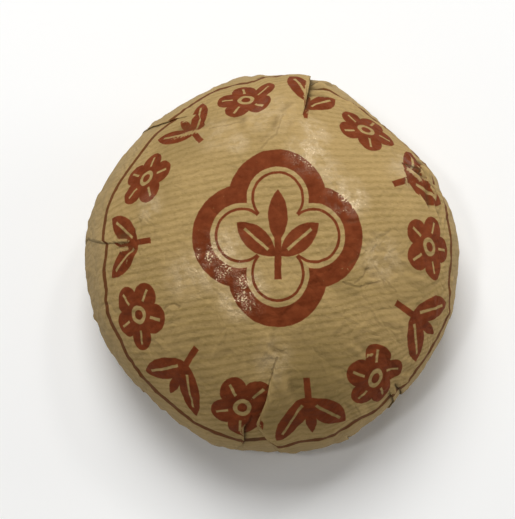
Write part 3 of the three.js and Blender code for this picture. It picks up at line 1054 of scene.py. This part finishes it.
def kraft_paper(looks, crease_lines):
    """Ribbed, machine-glazed kraft paper printed in one ink."""
    recipe = Recipe("kraft_paper")
    place = sheet_place(recipe, looks.gathers)
    # marks of the points: crests with their wear and painted highlight, and painted shade along the
    # folds and in the creases
    wear, shade = recipe.mark("fold_wear"), recipe.mark("fold_shade")
    creased = crease_shade(recipe, place, crease_lines)
    ribs, rib_shade = paper_ribs(recipe, place, looks.rib_pitch / MM)
    fibres = recipe.grain(recipe.vector("MULTIPLY", {0: place, 1: (0.6, 1.7, 0)}), 1.5, 4, 0.68)

    # zones where the glaze of the paper is crushed and catches the light, and where a pale sheen is
    # painted on as well
    zones = spots(recipe, place, CRUSHED_AND_GLINT_SPOTS)
    torn = recipe.ramp(recipe.grain(place, 0.33, 3, 0.6), 0.4, 0.56)
    crushed = zones * torn
    painted_sheen = zones * (0.35 + 0.65 * torn)

    # losses of the ink: flakes of the crushed glaze, which are also painted as pale glints, cracks
    # along the folds, and small holes
    clumps = recipe.grain(place, 0.5, 2, 0.6)
    flakes_and_glints = recipe.grain(place, 2.3, 2, 0.55) + (clumps - 0.5) * 0.5 + (crushed - 1) * 0.3
    flakes_and_glints = recipe.ramp(flakes_and_glints, 0.52, 0.62)
    cracks = recipe.ramp(wear + (recipe.grain(place, 1.6, 3, 0.6) - 0.5) * 1.1, 0.45, 0.62)
    holes = recipe.ramp(recipe.grain(place, 1.25, 3, 0.7), 0.66, 0.74)
    lost = recipe.most(cracks * 0.85, holes * 0.4, flakes_and_glints)
    ink = print_mask(recipe, looks, place) * (1 - lost)

    tone = paper_tone(recipe, looks, place, rib_shade, fibres, wear)
    # painted sheen over the crushed zones and painted glints on the flakes, in the pale glaze
    # colour
    tone = recipe.mix(painted_sheen * 0.42, tone, looks.glaze_glint)
    tone = recipe.mix(flakes_and_glints * 0.85, tone, looks.glaze_glint)
    colour = recipe.mix(ink, tone, ink_tone(recipe, looks, place, rib_shade))
    colour = recipe.mix(recipe.most(shade * shade, creased) * 0.75, colour, looks.shade)
    matt_height, glossy_height = paper_relief(recipe, place, ribs, fibres, creased)
    matt = recipe.add("ShaderNodeBsdfPrincipled", {}, {
        "Base Color": colour,
        "Roughness": 0.78 - 0.08 * ink,
        "Specular IOR Level": 0.05,
        "Normal": recipe.bump(matt_height),
    })
    glossy = recipe.add("ShaderNodeBsdfPrincipled", {}, {
        "Base Color": colour,
        "Roughness": 0.16 + 0.12 * fibres,
        "Specular IOR Level": 0.85,
        "Specular Tint": (1, 0.84, 0.62, 1),
        "Normal": recipe.bump(glossy_height),
    })
    return recipe.finish(recipe.add("ShaderNodeMixShader", {}, {0: crushed, 1: matt, 2: glossy}))


class TuochaWrapperSettings(bpy.types.PropertyGroup):
    """Sizes and colours of the wrapped cake."""

    girth_radius: FloatProperty(
        name="Girth radius", description="Mean radius of the cake at its widest",
        default=0.0422, unit="LENGTH")
    fold_scale: FloatProperty(
        name="Fold height", description="Factor on how far the pleats stand off the dome",
        default=1.0, min=0.2, max=1.6)
    gathers: IntProperty(
        name="Gathers", description="Number of small pleats under the girth", default=34)
    crease_seed: IntProperty(
        name="Crease seed", description="Number that sets where the fine creases lie", default=7)
    rib_pitch: FloatProperty(
        name="Rib pitch", description="Spacing of the ribs of the paper",
        default=0.0016, unit="LENGTH")
    emblem_radius: FloatProperty(
        name="Emblem radius", description="Reach of the emblem on the flat sheet",
        default=0.0185, unit="LENGTH")
    wreath_inner: FloatProperty(
        name="Wreath inner radius", description="Inner edge of the printed wreath",
        default=0.0292, unit="LENGTH")
    wreath_outer: FloatProperty(
        name="Wreath outer radius", description="Outer edge of the printed wreath",
        default=0.0431, unit="LENGTH")
    ring_width: FloatProperty(
        name="Ring line width", description="Width of the printed ring line",
        default=0.0013, unit="LENGTH")
    # pale colour painted over the crushed zones and flakes: painted sheen and glints of the glaze
    glaze_glint: FloatVectorProperty(
        name="Crushed glaze", description="Colour of the paper where its glaze is crushed",
        subtype="COLOR", size=4, default=(0.8, 0.6, 0.36, 1), min=0, max=1)
    paper: FloatVectorProperty(
        name="Paper", description="Colour of the kraft paper", subtype="COLOR", size=4,
        default=(0.4, 0.272, 0.112, 1), min=0, max=1)
    # a greyer, darker tone painted outside the ring line: painted sheen and shade of the shoulder
    margin: FloatVectorProperty(
        name="Margin", description="Colour of the duller paper outside the ring line",
        subtype="COLOR", size=4, default=(0.33, 0.245, 0.13, 1), min=0, max=1)
    shade: FloatVectorProperty(
        name="Crease shade", description="Colour deep in the creases and along the folds",
        subtype="COLOR", size=4, default=(0.07, 0.042, 0.014, 1), min=0, max=1)
    ring_ink: FloatVectorProperty(
        name="Ring ink", description="Colour of the printed ring line", subtype="COLOR",
        size=4, default=(0.13, 0.052, 0.014, 1), min=0, max=1)
    rib: FloatVectorProperty(
        name="Rib", description="Colour of the darker ribs", subtype="COLOR", size=4,
        default=(0.255, 0.175, 0.056, 1), min=0, max=1)
    ink: FloatVectorProperty(
        name="Ink", description="Colour of the printing ink", subtype="COLOR", size=4,
        default=(0.14, 0.028, 0.0075, 1), min=0, max=1)
    ink_pale: FloatVectorProperty(
        name="Thin ink", description="Colour of the ink where it is thin", subtype="COLOR",
        size=4, default=(0.2, 0.046, 0.014, 1), min=0, max=1)


class TuochaStageSettings(bpy.types.PropertyGroup):
    """Sizes, colours and lights of the studio."""

    floor_size: FloatProperty(
        name="Floor size", description="Length of a side of the floor", default=3.0,
        unit="LENGTH")
    floor_colour: FloatVectorProperty(
        name="Floor", description="Colour of the floor", subtype="COLOR", size=4,
        default=(0.93, 0.93, 0.92, 1), min=0, max=1)
    ambient: FloatProperty(
        name="Ambient", description="Strength of the light from all sides", default=0.2)
    lamp_power: FloatProperty(
        name="Lamp power", description="Power of the large lamp", default=9.8, unit="POWER")


def dome_axis():
    """The axis of the dome in the frame, through the highest point of the CAD node, in metres."""
    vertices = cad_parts[CAD_NODE].data.vertices
    top = max(vertices, key=lambda vertex: vertex.co.z).co
    return Vector((top.x, top.y, 0))


class TUOCHA_OT_wrapper(bpy.types.Operator):
    """Add the printed paper wrapper with its pleats, gathers and twisted tail"""

    bl_idname = "tuocha.wrapper"
    bl_label = "Add paper wrapper"

    def execute(self, context):
        looks = context.scene.tuocha_wrapper
        random = np.random.default_rng(looks.crease_seed)
        section = HalfSection(looks.girth_radius / MM)
        sheet = Sheet(section, looks.fold_scale)
        named = crease_relief(section, sheet.bearing, CREASES)
        fine = crease_relief(section, sheet.bearing, random_creases(random))
        parts = zip(named, fine, FINE_CREASE_SHARES)
        relief, wear, shade = (mine + other * share for mine, other, share in parts)
        outside = 1 - ease(section.arc, section.foot_arc - 4, section.foot_arc)[:, None]
        relief = relief * outside + sheet.flap
        relief += soft_unevenness(section, sheet.bearing) * outside
        gathers = Gathers(looks.gathers, random)
        pleats, crests = gathers.relief(section, sheet.bearing)
        relief += pleats
        # the marks: wear of the crests with a painted highlight, and painted shade along the folds
        # and in the creases
        marks = {
            "fold_wear": wear * outside + sheet.wear + 0.5 * crests,
            "fold_shade": shade * outside + sheet.shade,
        }
        points = surface_points(section, sheet, relief) * MM
        points += np.array(dome_axis())
        x, y = paper_places(section, sheet)
        phase = gathers.phase(section, sheet.bearing)
        full = section.radius / np.maximum(section.arc, 1)
        girth = section.girth_radius / section.girth_arc
        tuck = np.where(section.arc > section.girth_arc, 1 - full / girth, 0)[:, None]
        layers = {
            "paper_sheet": (x / SHEET_SIZE + 0.5, y / SHEET_SIZE + 0.5),
            "gathers": (phase, tuck + 0 * phase),
        }
        mesh = sheet_mesh("paper_wrapper", points, sheet.vertex_numbers(), layers, marks)
        wrapper = bpy.data.objects.new("paper_wrapper", mesh)
        context.scene.collection.objects.link(wrapper)
        lines = crease_corners(section, sheet, x, y)
        mesh.materials.append(kraft_paper(looks, lines))
        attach(wrapper, "root")
        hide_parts(CAD_NODE)
        return {"FINISHED"}


def add_lamp(name, direction, size, power):
    """A square lamp that faces the cake from a direction."""
    lamp = bpy.data.lights.new(name, "AREA")
    lamp.size = size
    lamp.energy = power
    thing = bpy.data.objects.new(name, lamp)
    direction = Vector(direction).normalized()
    thing.location = direction * LAMP_DISTANCE + Vector((0, 0, LAMP_AIM))
    thing.rotation_euler = direction.to_track_quat("Z", "Y").to_euler()
    bpy.context.scene.collection.objects.link(thing)


def add_camera():
    """The camera of the photograph: high in front of the cake."""
    elevation = math.radians(CAMERA_ELEVATION)
    lens = bpy.data.cameras.new("camera")
    lens.sensor_width = SENSOR_WIDTH
    lens.lens = FOCAL_PIXELS / PICTURE_PIXELS * SENSOR_WIDTH
    lens.shift_x, lens.shift_y = LENS_SHIFT
    camera = bpy.data.objects.new("camera", lens)
    away = Vector((0, -math.cos(elevation), math.sin(elevation))) * CAMERA_DISTANCE
    camera.location = dome_axis() + Vector((0, 0, CAMERA_AIM)) + away
    camera.rotation_euler = (math.pi / 2 - elevation, 0, 0)
    bpy.context.scene.collection.objects.link(camera)
    bpy.context.scene.camera = camera


class TUOCHA_OT_stage(bpy.types.Operator):
    """Add the floor, the lamps and the camera"""

    bl_idname = "tuocha.stage"
    bl_label = "Add studio"

    def execute(self, context):
        stage = context.scene.tuocha_stage
        half = stage.floor_size / 2
        corners = [(-half, -half, 0), (half, -half, 0), (half, half, 0), (-half, half, 0)]
        mesh = bpy.data.meshes.new("floor")
        mesh.from_pydata(corners, [], [(0, 1, 2, 3)])
        floor = bpy.data.objects.new("floor", mesh)
        context.scene.collection.objects.link(floor)
        recipe = Recipe("pale_floor")
        sockets = {"Base Color": stage.floor_colour, "Roughness": 0.8}
        shader = recipe.add("ShaderNodeBsdfPrincipled", {}, sockets)
        mesh.materials.append(recipe.finish(shader))
        world = bpy.data.worlds.new("studio")
        world.use_nodes = True
        background = world.node_tree.nodes["Background"]
        background.inputs["Color"].default_value = (1, 1, 1, 1)
        background.inputs["Strength"].default_value = stage.ambient
        context.scene.world = world
        for name, direction, size, share in LAMPS:
            add_lamp(name, direction, size, stage.lamp_power * share)
        add_camera()
        context.scene.view_settings.view_transform = "Standard"
        return {"FINISHED"}


class TUOCHA_PT_panel(bpy.types.Panel):
    """Sizes, colours and buttons of the tuocha"""

    bl_idname = "TUOCHA_PT_panel"
    bl_label = "Wrapped tuocha"
    bl_space_type = "VIEW_3D"
    bl_region_type = "UI"
    bl_category = "Tuocha"

    def draw(self, context):
        for settings, operator in (
            (context.scene.tuocha_wrapper, TUOCHA_OT_wrapper),
            (context.scene.tuocha_stage, TUOCHA_OT_stage),
        ):
            box = self.layout.box()
            for name in settings.__annotations__:
                box.prop(settings, name)
            box.operator(operator.bl_idname)


CLASSES = (
    TuochaWrapperSettings,
    TuochaStageSettings,
    TUOCHA_OT_wrapper,
    TUOCHA_OT_stage,
    TUOCHA_PT_panel,
)


def register():
    for each in CLASSES:
        bpy.utils.register_class(each)
    bpy.types.Scene.tuocha_wrapper = PointerProperty(type=TuochaWrapperSettings)
    bpy.types.Scene.tuocha_stage = PointerProperty(type=TuochaStageSettings)


def unregister():
    del bpy.types.Scene.tuocha_stage
    del bpy.types.Scene.tuocha_wrapper
    for each in reversed(CLASSES):
        bpy.utils.unregister_class(each)


def main():
    """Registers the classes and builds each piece."""
    register()
    bpy.ops.tuocha.wrapper()
    bpy.ops.tuocha.stage()


if __name__ == "__main__":
    main()
